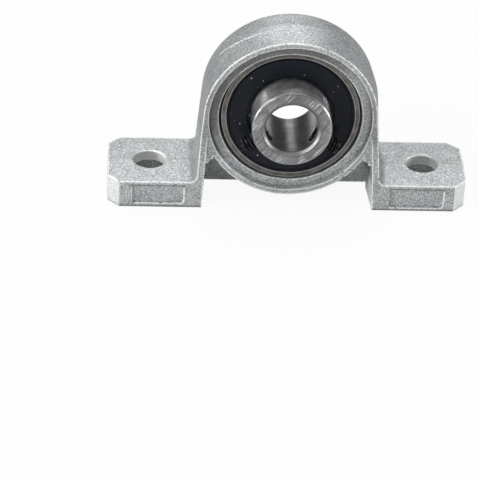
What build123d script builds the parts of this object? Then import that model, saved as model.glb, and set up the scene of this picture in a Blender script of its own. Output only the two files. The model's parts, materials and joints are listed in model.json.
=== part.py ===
"""Pillow block bearing for an 8 mm shaft, with a self-aligning sealed ball bearing insert.

All sizes are in millimetres.  The origin lies on the mounting plane, straight below the middle
of the bearing.  +X runs along the two feet, +Y runs along the shaft towards the back, and +Z
points up.  The collar with the two set screws is at the front, on the -Y side.  The insert can
tilt in its spherical seat, and here it leans back a little, with its collar up.
"""

from build123d import *
from math import cos, radians, sin, sqrt, tan
import os

os.makedirs("parts", exist_ok=True)

# ------------------------------------------------------------------ driving dimensions: housing
SHAFT_HEIGHT = 15.0         # mounting plane to shaft axis
BASE_LENGTH = 55.0          # over both feet
BASE_DEPTH = 12.9           # feet, along the shaft
FOOT_HEIGHT = 4.6
FOOT_DRAFT = 1.5            # degrees, both ways from the parting plane y = 0
FOOT_START = 0.3            # from the inner side of each leg
CORNER_CHAMFER = 1.9        # outer corners of the feet, seen from above
BOLT_SPACING = 42.0
BOLT_HOLE_RADIUS = 2.5      # clears an M4 bolt
HOLE_EDGE_BREAK = 0.2
POCKET_INNER_X = 14.9       # hollow under each foot
POCKET_OUTER_X = 25.5
POCKET_DEPTH_Y = 8.5
POCKET_HEIGHT = 2.9
POCKET_DRAFT = 2.0
POCKET_CORNER = 0.4
PANEL_INNER_X = 15.8        # shallow recessed panel on the front of each foot
PANEL_OUTER_X = {"left": 23.55, "right": 23.95}
PANEL_BOTTOM = {"left": 0.7, "right": 0.5}
PANEL_TOP = 3.7
PANEL_RECESS = 0.35
PANEL_CORNER = 0.25

RING_RADIUS = 13.5          # round head of the housing, at the parting plane
RING_FRONT = 5.25           # front face of the head, from the parting plane
RING_BACK = 4.6             # back face of the head, from the parting plane
ARCH_DRAFT = 4.3            # degrees, both ways from the parting plane
LEG_LEAN = 4.8              # degrees, outer side of each leg from the vertical
LEG_INNER_BASE_X = 12.6     # inner side of each leg, at the mounting and parting planes
LEG_INNER_LEAN = 3.0        # degrees
LEG_TAPER_BOTTOM = 5.9      # the legs thin from the feet's depth ...
LEG_TAPER_TOP = 12.5        # ... to the ring's width between these heights
WEB_BOTTOM = 1.6            # thin wall that closes the gap between the legs and the ring
WEB_THICKNESS = 1.8
LEG_FOOT_FILLET = 1.1
RING_CORNER_RADIUS = 0.75   # filled corner between the ring and the inner side of each leg
BACK_EDGE_FILLET = 1.0
INNER_EDGE_FILLET = 0.6

RECESS_RADIUS = 12.3        # stepped mouth on the front of the ring
RECESS_FLOOR_RADIUS = 12.1
RECESS_DEPTH = 0.75
MOUTH_RADIUS = 10.85
BACK_MOUTH_RADIUS = 11.7    # chamfered mouth at the back ...
BACK_MOUTH_START = 3.8      # ... which starts this far behind the parting plane

# ------------------------------------------------------------------ driving dimensions: bearing
INSERT_LEAN = 2.9           # degrees that the insert leans back in its seat, collar up
SEAT_CENTRE_Y = -0.75       # middle of the spherical seat, in front of the parting plane
SEAT_CLEARANCE = 0.02       # between the spherical outer ring and its seat
SEAT_HALF_WIDTH = 2.9
OUTER_RING_RADIUS = 11.0    # sphere
OUTER_RING_WIDTH = 7.0
OUTER_LAND_RADIUS = 8.9
SEAL_SEAT = 2.4             # half distance between the two seals' seats
SEAL_GROOVE_RADIUS = 9.9
SEAL_LIP_RADIUS = 9.7
SEAL_LIP_START = 3.05

BORE_RADIUS = 4.0
INNER_RING_RADIUS = 6.0
INNER_RING_FRONT = 8.0      # collar face, in front of the insert's middle
INNER_RING_BACK = 3.5
BORE_CHAMFER = 0.35
COLLAR_CHAMFER = 0.2

BALL_COUNT = 7
BALL_RADIUS = 3.969 / 2
PITCH_RADIUS = 7.5
GROOVE_RATIO = 1.04         # groove radius over ball radius
BALL_CLEARANCE = 0.015

CAGE_SHEET = 0.25
CAGE_BALL_CLEARANCE = 0.06
CAGE_INNER_RADIUS = 6.75
CAGE_OUTER_RADIUS = 8.25
RIVET_RADIUS = 0.3
RIVET_HEAD_RADIUS = 0.55
RIVET_HEAD_HEIGHT = 0.22
RIVET_HEAD_TAPER = 30.0

SEAL_FACE = 3.2             # raised face of each seal, from the insert's middle
SEAL_INNER_RADIUS = 6.06
SEAL_LIP_FACE = 2.9
SEAL_LIP_WIDTH = 0.54
SEAL_RIM_FACE = 3.02
SEAL_RIM_WIDTH = 0.45
SEAL_INSERT_INNER = 6.95
SEAL_INSERT_OUTER = 9.4
SEAL_INSERT_SHEET = 0.3
SEAL_STEP = 0.1             # sloped steps in the moulded rubber

SET_SCREW_Y = -5.5          # along the insert's axis, from its middle
SET_SCREW_ANGLES = {"set_screw_left": 210.0, "set_screw_right": 330.0}
SCREW_HOLE_RADIUS = 1.3
SCREW_CORE_RADIUS = 1.27
SCREW_TIP = 5.1             # distance of the point from the shaft axis
SCREW_LENGTH = 3.0
SOCKET_ACROSS_FLATS = 1.5
SOCKET_DEPTH = 1.5
SCREW_POINT_CHAMFER = 0.45
SCREW_END_CHAMFER = 0.12

# ------------------------------------------------------------------ shared planes and axes
# The housing's turned sections are drawn in (y, distance from the axis of its head).
HEAD_AXIS = Axis((0, 0, SHAFT_HEIGHT), (0, 1, 0))
HEAD_TURNING = Plane(origin=(0, 0, SHAFT_HEIGHT), x_dir=(0, 1, 0), z_dir=(1, 0, 0))
# The insert has its own frame, which leans: its turned sections are drawn in (distance behind
# its middle, distance from the shaft axis), and its round patterns as seen from its front.
BACKWARDS = Vector(0, cos(radians(INSERT_LEAN)), -sin(radians(INSERT_LEAN)))
INSERT_MIDDLE = Vector(0, SEAT_CENTRE_Y, SHAFT_HEIGHT)
SHAFT_AXIS = Axis(INSERT_MIDDLE, BACKWARDS)
INSERT_TURNING = Plane(origin=INSERT_MIDDLE, x_dir=BACKWARDS, z_dir=(1, 0, 0))
INSERT_FRONT = Plane(origin=INSERT_MIDDLE, x_dir=(1, 0, 0), z_dir=-BACKWARDS)

MARGIN = 1.0                # cuts run this far past the solid
TOLERANCE = 0.01            # for picking edges by their position
UPRIGHT_CLIMB = 0.5         # an edge that climbs more than this counts as upright

half_depth = BASE_DEPTH / 2
leg_inner_at_face = LEG_INNER_BASE_X + half_depth * tan(radians(ARCH_DRAFT))
ring_front_radius = RING_RADIUS - RING_FRONT * tan(radians(ARCH_DRAFT))
ring_back_radius = RING_RADIUS - RING_BACK * tan(radians(ARCH_DRAFT))
recess_floor = RECESS_DEPTH - RING_FRONT
seat_radius = OUTER_RING_RADIUS + SEAT_CLEARANCE
seat_mouth = sqrt(seat_radius**2 - SEAT_HALF_WIDTH**2)
outer_face = OUTER_RING_WIDTH / 2
outer_face_radius = sqrt(OUTER_RING_RADIUS**2 - outer_face**2)
groove_radius = BALL_RADIUS * GROOVE_RATIO
inner_groove_centre = PITCH_RADIUS - BALL_RADIUS - BALL_CLEARANCE + groove_radius
outer_groove_centre = PITCH_RADIUS + BALL_RADIUS + BALL_CLEARANCE - groove_radius
inner_groove_edge = sqrt(groove_radius**2 - (inner_groove_centre - INNER_RING_RADIUS) ** 2)
outer_groove_edge = sqrt(groove_radius**2 - (OUTER_LAND_RADIUS - outer_groove_centre) ** 2)
pocket_radius = BALL_RADIUS + CAGE_BALL_CLEARANCE


def leg_line(radius, lean, height):
    """x of the line tangent to a circle about the shaft, leaning outwards, at this height."""
    return (radius + (SHAFT_HEIGHT - height) * sin(radians(lean))) / cos(radians(lean))


def leg_inner(height):
    """x of a leg's inner side at this height."""
    return LEG_INNER_BASE_X - height * tan(radians(LEG_INNER_LEAN))


# ------------------------------------------------------------------ housing
below = -4.0                # outlines start below the mounting plane and are trimmed at it
head_top = SHAFT_HEIGHT + RING_RADIUS + MARGIN
with BuildPart() as housing:
    # The round head and the outer sides of the legs, drafted both ways from the parting plane.
    with BuildSketch(Plane.XZ):
        with Locations((0, SHAFT_HEIGHT)):
            Circle(RING_RADIUS)
        tangent_x = RING_RADIUS * cos(radians(LEG_LEAN))
        tangent_z = SHAFT_HEIGHT + RING_RADIUS * sin(radians(LEG_LEAN))
        leg_x = leg_line(RING_RADIUS, LEG_LEAN, below)
        with BuildLine():
            Polyline((-tangent_x, tangent_z), (tangent_x, tangent_z), (leg_x, below),
                     (-leg_x, below), close=True)
        make_face()
    extrude(amount=half_depth, both=True, taper=ARCH_DRAFT)

    # Seen from the side, the legs thin from the feet up to the ring.
    with BuildSketch(Plane.YZ):
        with BuildLine():
            Polyline((-half_depth, below), (half_depth, below), (half_depth, LEG_TAPER_BOTTOM),
                     (RING_BACK, LEG_TAPER_TOP), (RING_BACK, head_top),
                     (-RING_FRONT, head_top), (-RING_FRONT, LEG_TAPER_TOP),
                     (-half_depth, LEG_TAPER_BOTTOM), close=True)
        make_face()
    extrude(amount=BASE_LENGTH, both=True, mode=Mode.INTERSECT)

    # The back rim and the back edges of the legs above their roots are rounded.
    upright = housing.edges().filter_by(lambda edge: edge.bounding_box().size.Z > UPRIGHT_CLIMB)
    back_edges = upright.filter_by_position(Axis.Y, RING_BACK - TOLERANCE, half_depth)
    fillet(back_edges.filter_by(lambda edge: edge.center().Z > LEG_TAPER_BOTTOM), BACK_EDGE_FILLET)

    # The opening between the legs, whose sides are drafted both ways too.
    window_top = SHAFT_HEIGHT - MARGIN
    with BuildSketch(Plane.XZ):
        with BuildLine():
            Polyline((-leg_inner(window_top), window_top), (leg_inner(window_top), window_top),
                     (leg_inner(below), below), (-leg_inner(below), below), close=True)
        make_face()
    extrude(amount=half_depth, both=True, taper=-ARCH_DRAFT, mode=Mode.SUBTRACT)

    # Two feet with a light draft, which start inside the legs' walls.
    foot_inner = leg_inner_at_face + FOOT_START
    foot_middle = (foot_inner + BASE_LENGTH / 2) / 2
    with BuildSketch(Plane.XZ):
        with Locations((-foot_middle, (FOOT_HEIGHT + below) / 2),
                       (foot_middle, (FOOT_HEIGHT + below) / 2)):
            Rectangle(BASE_LENGTH / 2 - foot_inner, FOOT_HEIGHT - below)
    extrude(amount=half_depth, both=True, taper=FOOT_DRAFT)

    # Plan outline with chamfered corners, which also trims everything at the mounting plane.
    with BuildSketch(Plane.XY):
        plan = Rectangle(BASE_LENGTH, BASE_DEPTH)
        chamfer(plan.vertices(), CORNER_CHAMFER)
    extrude(amount=head_top, mode=Mode.INTERSECT)

    # Concave fillets where the legs rise out of the feet.
    foot_edge_height = FOOT_HEIGHT - half_depth * tan(radians(FOOT_DRAFT))
    foot_top_edges = housing.edges().filter_by_position(Axis.Z, foot_edge_height, FOOT_HEIGHT)
    root_outer = leg_line(RING_RADIUS, LEG_LEAN, FOOT_HEIGHT)
    root_edges = foot_top_edges.filter_by(
        lambda edge: leg_inner(FOOT_HEIGHT) < abs(edge.center().X) < root_outer
    )
    fillet(root_edges, LEG_FOOT_FILLET)

    # The inner back corner of each leg is rounded at its foot too.
    upright = housing.edges().filter_by(lambda edge: edge.bounding_box().size.Z > UPRIGHT_CLIMB)
    back_edges = upright.filter_by_position(Axis.Y, half_depth - TOLERANCE, half_depth + TOLERANCE)
    fillet(back_edges.filter_by(lambda edge: abs(edge.center().X) < leg_inner_at_face),
           INNER_EDGE_FILLET)

    # The ring itself, whole all the way round.
    with BuildSketch(HEAD_TURNING) as ring_section:
        with BuildLine():
            Polyline((-RING_FRONT, 0), (-RING_FRONT, ring_front_radius), (0, RING_RADIUS),
                     (RING_BACK, ring_back_radius), (RING_BACK, 0), close=True)
        make_face()
        back_corners = ring_section.vertices().group_by(Axis.X)[-1]
        fillet(back_corners.sort_by(Axis.Y)[-1], BACK_EDGE_FILLET)
    revolve(axis=HEAD_AXIS)

    # The corners between the ring and the legs are filled round.
    corner_x = leg_inner(SHAFT_HEIGHT / 2) - RING_CORNER_RADIUS
    corner_drop = sqrt((ring_front_radius + RING_CORNER_RADIUS) ** 2 - corner_x**2)
    corner_z = SHAFT_HEIGHT - corner_drop
    with BuildSketch(Plane.XZ.offset(BACK_EDGE_FILLET - RING_BACK)):
        for side in (-1, 1):
            with BuildLine():
                Polyline((side * corner_x, corner_z), (side * LEG_INNER_BASE_X, corner_z),
                         (side * LEG_INNER_BASE_X, SHAFT_HEIGHT), (side * corner_x, SHAFT_HEIGHT),
                         close=True)
            make_face()
        with Locations((-corner_x, corner_z), (corner_x, corner_z)):
            Circle(RING_CORNER_RADIUS, mode=Mode.SUBTRACT)
    extrude(amount=RING_FRONT + RING_BACK - BACK_EDGE_FILLET)

    # The web between the legs and the ring.
    with Locations((0, 0, (WEB_BOTTOM + SHAFT_HEIGHT) / 2)):
        Box(2 * LEG_INNER_BASE_X, WEB_THICKNESS, SHAFT_HEIGHT - WEB_BOTTOM)

    # Stepped mouth, spherical seat and chamfered back mouth, turned in one cut.
    past_front = -RING_FRONT - MARGIN
    past_back = RING_BACK + MARGIN
    back_mouth_slope = (BACK_MOUTH_RADIUS - MOUTH_RADIUS) / (RING_BACK - BACK_MOUTH_START)
    back_mouth_end = BACK_MOUTH_RADIUS + back_mouth_slope * MARGIN
    seat_front = SEAT_CENTRE_Y - SEAT_HALF_WIDTH
    seat_back = SEAT_CENTRE_Y + SEAT_HALF_WIDTH
    with BuildSketch(HEAD_TURNING):
        with BuildLine():
            Polyline((seat_front, seat_mouth), (recess_floor, MOUTH_RADIUS),
                     (recess_floor, RECESS_FLOOR_RADIUS), (-RING_FRONT, RECESS_RADIUS),
                     (past_front, RECESS_RADIUS),
                     (past_front, 0), (past_back, 0), (past_back, back_mouth_end),
                     (BACK_MOUTH_START, MOUTH_RADIUS), (seat_back, seat_mouth))
            ThreePointArc((seat_back, seat_mouth), (SEAT_CENTRE_Y, seat_radius),
                          (seat_front, seat_mouth))
        make_face()
    revolve(axis=HEAD_AXIS, mode=Mode.SUBTRACT)

    # Hollows under the feet, bolt holes with a broken top edge, and the front panels.
    pocket_length = POCKET_OUTER_X - POCKET_INNER_X
    pocket_centre = (POCKET_OUTER_X + POCKET_INNER_X) / 2
    with BuildSketch(Plane.XY):
        with Locations((-pocket_centre, 0), (pocket_centre, 0)):
            RectangleRounded(pocket_length, POCKET_DEPTH_Y, POCKET_CORNER)
    extrude(amount=POCKET_HEIGHT, taper=POCKET_DRAFT, mode=Mode.SUBTRACT)
    with BuildSketch(Plane.XY):
        with Locations((-BOLT_SPACING / 2, 0), (BOLT_SPACING / 2, 0)):
            Circle(BOLT_HOLE_RADIUS)
    extrude(amount=FOOT_HEIGHT + MARGIN, mode=Mode.SUBTRACT)
    with BuildSketch(Plane.XY.offset(FOOT_HEIGHT)):
        with Locations((-BOLT_SPACING / 2, 0), (BOLT_SPACING / 2, 0)):
            Circle(BOLT_HOLE_RADIUS + HOLE_EDGE_BREAK)
    extrude(amount=-HOLE_EDGE_BREAK, taper=45, mode=Mode.SUBTRACT)
    with BuildSketch(Plane.XZ.offset(half_depth)):
        for side, sign in (("left", -1), ("right", 1)):
            panel_middle = (PANEL_INNER_X + PANEL_OUTER_X[side]) / 2
            with Locations((sign * panel_middle, (PANEL_BOTTOM[side] + PANEL_TOP) / 2)):
                RectangleRounded(PANEL_OUTER_X[side] - PANEL_INNER_X,
                                 PANEL_TOP - PANEL_BOTTOM[side], PANEL_CORNER)
    extrude(amount=-PANEL_RECESS, mode=Mode.SUBTRACT)

housing.part.label = "housing"
export_step(housing.part, "parts/housing.step")

# ------------------------------------------------------------------ outer ring
with BuildPart() as outer_ring:
    # Spherical outside, ball groove inside, and a stepped seat for a seal at each end.
    with BuildSketch(INSERT_TURNING):
        with BuildLine():
            ThreePointArc((-outer_face, outer_face_radius), (0, OUTER_RING_RADIUS),
                          (outer_face, outer_face_radius))
            Polyline((outer_face, outer_face_radius), (outer_face, SEAL_LIP_RADIUS),
                     (SEAL_LIP_START, SEAL_LIP_RADIUS), (SEAL_LIP_START, SEAL_GROOVE_RADIUS),
                     (SEAL_SEAT, SEAL_GROOVE_RADIUS), (SEAL_SEAT, OUTER_LAND_RADIUS),
                     (outer_groove_edge, OUTER_LAND_RADIUS))
            ThreePointArc((outer_groove_edge, OUTER_LAND_RADIUS),
                          (0, outer_groove_centre + groove_radius),
                          (-outer_groove_edge, OUTER_LAND_RADIUS))
            Polyline((-outer_groove_edge, OUTER_LAND_RADIUS), (-SEAL_SEAT, OUTER_LAND_RADIUS),
                     (-SEAL_SEAT, SEAL_GROOVE_RADIUS), (-SEAL_LIP_START, SEAL_GROOVE_RADIUS),
                     (-SEAL_LIP_START, SEAL_LIP_RADIUS), (-outer_face, SEAL_LIP_RADIUS),
                     (-outer_face, outer_face_radius))
        make_face()
    revolve(axis=SHAFT_AXIS)
outer_ring.part.label = "outer_ring"
export_step(outer_ring.part, "parts/outer_ring.step")


def outward(angle):
    """Direction away from the shaft axis, at this angle as seen from the insert's front."""
    return INSERT_FRONT.x_dir * cos(radians(angle)) + INSERT_FRONT.y_dir * sin(radians(angle))


screws_middle = INSERT_MIDDLE + BACKWARDS * SET_SCREW_Y


def screw_plane(angle, distance):
    """Plane across a set screw's axis, at this distance from the shaft axis, facing outwards."""
    centre = screws_middle + outward(angle) * distance
    return Plane(origin=centre, x_dir=BACKWARDS, z_dir=outward(angle))


# ------------------------------------------------------------------ inner ring and its collar
with BuildPart() as inner_ring:
    with BuildSketch(INSERT_TURNING):
        with BuildLine():
            Polyline((-INNER_RING_FRONT, BORE_RADIUS + BORE_CHAMFER),
                     (-INNER_RING_FRONT + BORE_CHAMFER, BORE_RADIUS),
                     (INNER_RING_BACK - BORE_CHAMFER, BORE_RADIUS),
                     (INNER_RING_BACK, BORE_RADIUS + BORE_CHAMFER),
                     (INNER_RING_BACK, INNER_RING_RADIUS - COLLAR_CHAMFER),
                     (INNER_RING_BACK - COLLAR_CHAMFER, INNER_RING_RADIUS),
                     (inner_groove_edge, INNER_RING_RADIUS))
            ThreePointArc((inner_groove_edge, INNER_RING_RADIUS),
                          (0, inner_groove_centre - groove_radius),
                          (-inner_groove_edge, INNER_RING_RADIUS))
            Polyline((-inner_groove_edge, INNER_RING_RADIUS),
                     (-INNER_RING_FRONT + COLLAR_CHAMFER, INNER_RING_RADIUS),
                     (-INNER_RING_FRONT, INNER_RING_RADIUS - COLLAR_CHAMFER),
                     (-INNER_RING_FRONT, BORE_RADIUS + BORE_CHAMFER))
        make_face()
    revolve(axis=SHAFT_AXIS)
    for angle in SET_SCREW_ANGLES.values():
        with BuildSketch(screw_plane(angle, 0)):
            Circle(SCREW_HOLE_RADIUS)
        extrude(amount=INNER_RING_RADIUS + MARGIN, mode=Mode.SUBTRACT)
inner_ring.part.label = "inner_ring"
export_step(inner_ring.part, "parts/inner_ring.step")

# ------------------------------------------------------------------ set screws
for name, angle in SET_SCREW_ANGLES.items():
    along = outward(angle)
    # Half section in (distance from the shaft axis, distance from the screw's own axis).
    half_section = Plane(origin=screws_middle, x_dir=along, z_dir=along.cross(BACKWARDS))
    screw_end = SCREW_TIP + SCREW_LENGTH
    with BuildPart() as screw:
        with BuildSketch(half_section):
            with BuildLine():
                Polyline((SCREW_TIP, 0), (SCREW_TIP, SCREW_CORE_RADIUS - SCREW_POINT_CHAMFER),
                         (SCREW_TIP + SCREW_POINT_CHAMFER, SCREW_CORE_RADIUS),
                         (screw_end - SCREW_END_CHAMFER, SCREW_CORE_RADIUS),
                         (screw_end, SCREW_CORE_RADIUS - SCREW_END_CHAMFER),
                         (screw_end, 0), close=True)
            make_face()
        revolve(axis=Axis(screws_middle, along))
        with BuildSketch(screw_plane(angle, screw_end)):
            RegularPolygon(SOCKET_ACROSS_FLATS / 2, 6, major_radius=False)
        extrude(amount=-SOCKET_DEPTH, mode=Mode.SUBTRACT)
    screw.part.label = name
    export_step(screw.part, f"parts/{name}.step")

# ------------------------------------------------------------------ balls
ball_angles = [90 + number * 360 / BALL_COUNT for number in range(BALL_COUNT)]
ball_centres = [INSERT_MIDDLE + outward(angle) * PITCH_RADIUS for angle in ball_angles]
for number, centre in enumerate(ball_centres, start=1):
    with BuildPart() as ball:
        with Locations(centre):
            Sphere(BALL_RADIUS)
    ball.part.label = f"ball_{number}"
    export_step(ball.part, f"parts/ball_{number}.step")

# ------------------------------------------------------------------ cage: two pressed halves
cage_reach = pocket_radius + CAGE_SHEET
for name, forward in (("cage_front", 1), ("cage_rear", -1)):
    # A pocket's poles point along its radius, outside the band, and its seam to the other half.
    pockets = [
        Plane(origin=centre, x_dir=BACKWARDS * forward, z_dir=centre - INSERT_MIDDLE)
        for centre in ball_centres
    ]
    with BuildPart() as cage:
        # Flat lands between the pockets.
        with BuildSketch(INSERT_FRONT):
            Circle(CAGE_OUTER_RADIUS)
            Circle(CAGE_INNER_RADIUS, mode=Mode.SUBTRACT)
        extrude(amount=forward * CAGE_SHEET)
        # Domes over the balls, trimmed to the band of the cage on its own side.
        with Locations(*pockets):
            Sphere(cage_reach)
        with BuildSketch(INSERT_FRONT):
            Circle(CAGE_OUTER_RADIUS)
            Circle(CAGE_INNER_RADIUS, mode=Mode.SUBTRACT)
        extrude(amount=forward * (cage_reach + MARGIN), mode=Mode.INTERSECT)
        with Locations(*pockets):
            Sphere(pocket_radius, mode=Mode.SUBTRACT)
        with BuildSketch(INSERT_FRONT):
            with PolarLocations(PITCH_RADIUS, BALL_COUNT, ball_angles[0] + 180 / BALL_COUNT):
                Circle(RIVET_RADIUS)
        extrude(amount=forward * CAGE_SHEET, mode=Mode.SUBTRACT)
    cage.part.label = name
    export_step(cage.part, f"parts/{name}.step")

# ------------------------------------------------------------------ cage rivets
for number, ball_angle in enumerate(ball_angles, start=1):
    turn = radians(ball_angle + 180 / BALL_COUNT)
    place = (PITCH_RADIUS * cos(turn), PITCH_RADIUS * sin(turn))
    with BuildPart() as rivet:
        with BuildSketch(INSERT_FRONT):
            with Locations(place):
                Circle(RIVET_RADIUS)
        extrude(amount=CAGE_SHEET, both=True)
        for forward in (1, -1):
            with BuildSketch(INSERT_FRONT.offset(forward * CAGE_SHEET)):
                with Locations(place):
                    Circle(RIVET_HEAD_RADIUS)
            extrude(amount=forward * RIVET_HEAD_HEIGHT, taper=RIVET_HEAD_TAPER)
    rivet.part.label = f"cage_rivet_{number}"
    export_step(rivet.part, f"parts/cage_rivet_{number}.step")

# ------------------------------------------------------------------ seals and their stiffeners
seal_bead_inner = SEAL_LIP_RADIUS - SEAL_RIM_WIDTH
lip_edge = SEAL_INNER_RADIUS + SEAL_LIP_WIDTH
stiffener_face = SEAL_SEAT + SEAL_INSERT_SHEET
for end, side in (("front", -1), ("rear", 1)):
    with BuildPart() as seal:
        # Moulded rubber washer: outer bead, raised face, thin lip, and a recess inside.
        with BuildSketch(INSERT_TURNING):
            with BuildLine():
                Polyline((side * SEAL_SEAT, SEAL_GROOVE_RADIUS),
                         (side * SEAL_LIP_START, SEAL_GROOVE_RADIUS),
                         (side * SEAL_LIP_START, SEAL_LIP_RADIUS),
                         (side * SEAL_RIM_FACE, seal_bead_inner),
                         (side * SEAL_FACE, seal_bead_inner - SEAL_STEP),
                         (side * SEAL_FACE, lip_edge + SEAL_STEP),
                         (side * SEAL_LIP_FACE, lip_edge),
                         (side * SEAL_LIP_FACE, SEAL_INNER_RADIUS),
                         (side * (SEAL_SEAT + SEAL_STEP), SEAL_INNER_RADIUS),
                         (side * (SEAL_SEAT + SEAL_STEP), lip_edge),
                         (side * SEAL_SEAT, lip_edge + SEAL_STEP),
                         (side * SEAL_SEAT, SEAL_INSERT_INNER),
                         (side * stiffener_face, SEAL_INSERT_INNER),
                         (side * stiffener_face, SEAL_INSERT_OUTER),
                         (side * SEAL_SEAT, SEAL_INSERT_OUTER), close=True)
            make_face()
        revolve(axis=SHAFT_AXIS)
    seal.part.label = f"seal_{end}"
    export_step(seal.part, f"parts/seal_{end}.step")

    with BuildPart() as stiffener:
        # Flat steel washer bonded into the rubber.
        with BuildSketch(INSERT_FRONT.offset(-side * SEAL_SEAT)):
            Circle(SEAL_INSERT_OUTER)
            Circle(SEAL_INSERT_INNER, mode=Mode.SUBTRACT)
        extrude(amount=-side * SEAL_INSERT_SHEET)
    stiffener.part.label = f"seal_{end}_stiffener"
    export_step(stiffener.part, f"parts/seal_{end}_stiffener.step")
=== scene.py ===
# %% [markdown]
# # A pillow block bearing, finished in Blender
#
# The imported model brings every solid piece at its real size, in metres: +X runs along the feet,
# +Y along the shaft towards the back, and +Z up.  This notebook gives those pieces their
# finishes, adds the small things that a solid model leaves out, such as screw threads and the
# flash of the casting, and sets up the light and the camera.

# %% Load the frame
import json
import math

import bpy
from mathutils import Matrix, Vector, noise


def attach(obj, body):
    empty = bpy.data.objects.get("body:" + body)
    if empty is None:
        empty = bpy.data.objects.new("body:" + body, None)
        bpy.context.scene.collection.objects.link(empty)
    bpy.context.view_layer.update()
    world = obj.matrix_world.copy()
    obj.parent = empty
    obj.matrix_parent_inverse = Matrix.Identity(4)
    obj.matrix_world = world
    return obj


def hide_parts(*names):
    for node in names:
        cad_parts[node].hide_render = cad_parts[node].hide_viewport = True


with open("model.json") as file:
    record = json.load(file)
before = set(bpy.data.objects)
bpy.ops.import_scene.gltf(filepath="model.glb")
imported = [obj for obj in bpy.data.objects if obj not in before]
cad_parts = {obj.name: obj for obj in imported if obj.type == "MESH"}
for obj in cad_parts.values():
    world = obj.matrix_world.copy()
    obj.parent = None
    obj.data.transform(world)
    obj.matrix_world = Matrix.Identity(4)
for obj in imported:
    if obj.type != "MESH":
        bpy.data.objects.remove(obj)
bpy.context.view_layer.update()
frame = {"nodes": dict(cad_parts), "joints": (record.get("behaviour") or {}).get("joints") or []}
MM = 0.001
spin = next(joint for joint in frame["joints"] if joint["name"] == "shaft_spin")
INSERT_MIDDLE = Vector(spin["pos_m"])
SHAFT_WAY = Vector(spin["axis"]).normalized()
INSERT_LEAN = math.atan2(-SHAFT_WAY.z, SHAFT_WAY.y)
print("the insert leans back", round(math.degrees(INSERT_LEAN), 2), "degrees")

# %% [markdown]
# ## Shader sums as Python sums
#
# A finish is mostly arithmetic: a mask times a colour, a pattern minus a threshold.  Adding each
# Math node by hand hides that arithmetic, so a small class wraps a socket and lets Python's own
# operators add the nodes.  A second class holds one material, and its `node` method adds any
# other kind of node: the settings come first, because they can change which sockets exist.


# %% Wrap a socket
class Wire:
    """A shader socket that takes part in Python sums."""

    def __init__(self, socket):
        self.socket = socket

    def math(self, operation, first, second=None):
        """A Math node that works on wires or plain numbers."""
        tree = self.socket.id_data
        made = tree.nodes.new("ShaderNodeMath")
        made.operation = operation
        for place, value in enumerate((first, second)):
            connect(tree, value, made.inputs[place])
        return Wire(made.outputs[0])

    def __add__(self, other):
        return self.math("ADD", self, other)

    def __radd__(self, other):
        return self.math("ADD", other, self)

    def __sub__(self, other):
        return self.math("SUBTRACT", self, other)

    def __rsub__(self, other):
        return self.math("SUBTRACT", other, self)

    def __mul__(self, other):
        return self.math("MULTIPLY", self, other)

    def __rmul__(self, other):
        return self.math("MULTIPLY", other, self)

    def __truediv__(self, other):
        return self.math("DIVIDE", self, other)

    def __pow__(self, other):
        return self.math("POWER", self, other)

    def __abs__(self):
        return self.math("ABSOLUTE", self)

    def least(self, other):
        """The smaller of the two at each point."""
        return self.math("MINIMUM", self, other)

    def most(self, other):
        """The larger of the two at each point."""
        return self.math("MAXIMUM", self, other)

    def sine(self):
        return self.math("SINE", self)

    def fraction(self):
        """What is left after the whole number, which turns a slope into saw teeth."""
        return self.math("FRACT", self)


def connect(tree, value, socket):
    """Links a wire, or writes a plain value into the socket."""
    if isinstance(value, Wire):
        tree.links.new(value.socket, socket)
    elif value is not None:
        if hasattr(value, "__len__") and len(value) == 3 and socket.type == "RGBA":
            value = (*value, 1.0)
        socket.default_value = value


print("wires add, subtract, multiply, divide and compare")


# %% One material, and any node in it
ROUNDING_SAMPLES, RAYS_INTO_SOLID = 6, 8
EDGE_SHARE, FLAT_SHARE = 0.65, 0.92     # of those rays that stay inside: at an edge, on a face


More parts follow.
